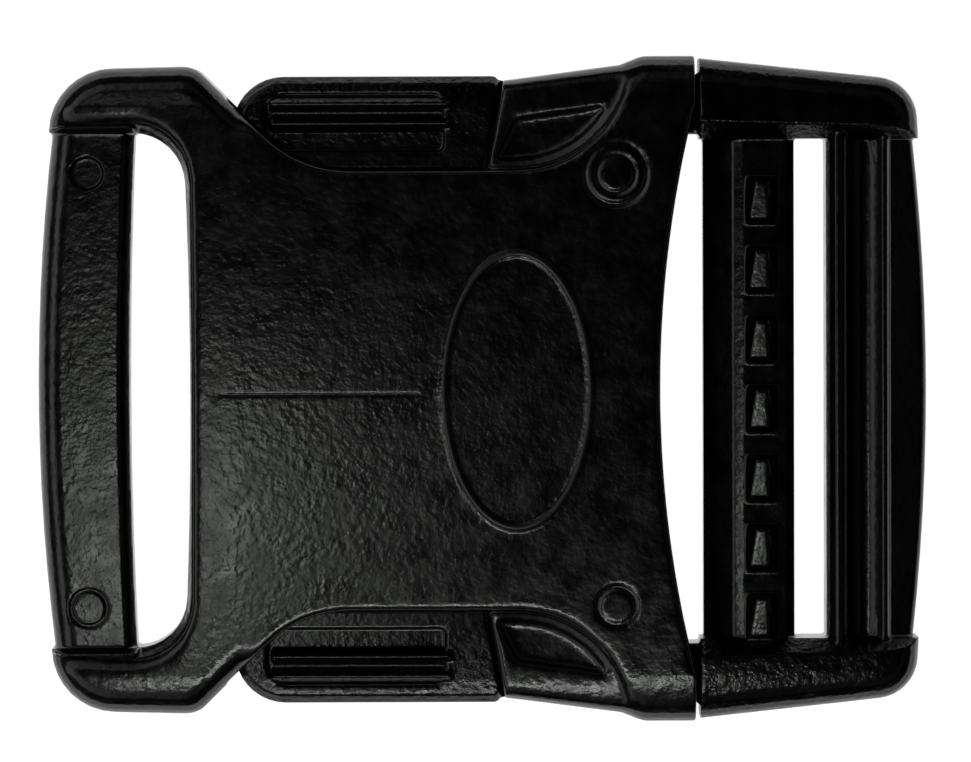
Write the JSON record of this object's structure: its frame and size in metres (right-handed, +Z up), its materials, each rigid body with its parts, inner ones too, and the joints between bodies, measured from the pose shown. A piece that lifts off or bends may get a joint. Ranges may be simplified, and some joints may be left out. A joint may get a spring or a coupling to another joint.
{
  "type": "side release buckle",
  "caption": "Fastened side release buckle for 50 mm webbing: hollow socket with a fixed web bar, plug with a toothed ladder bar, side buttons in the socket's windows.",
  "frame": {"origin": "centre of the buckle's footprint, on the plane of its flat back", "axes": "+X along the webbing from the socket to the plug, +Y across the webbing, +Z up out of the crowned front"},
  "size_m": [0.091, 0.068, 0.0125],
  "materials": {
    "socket_plastic": "black acetal with a fine spark-eroded grain, low sheen",
    "plug_plastic": "black acetal with a fine grain, slightly smoother than the socket"
  },
  "bodies": {
    "root": {"socket": "socket_plastic", "plug": "plug_plastic"}
  },
  "joints": []
}
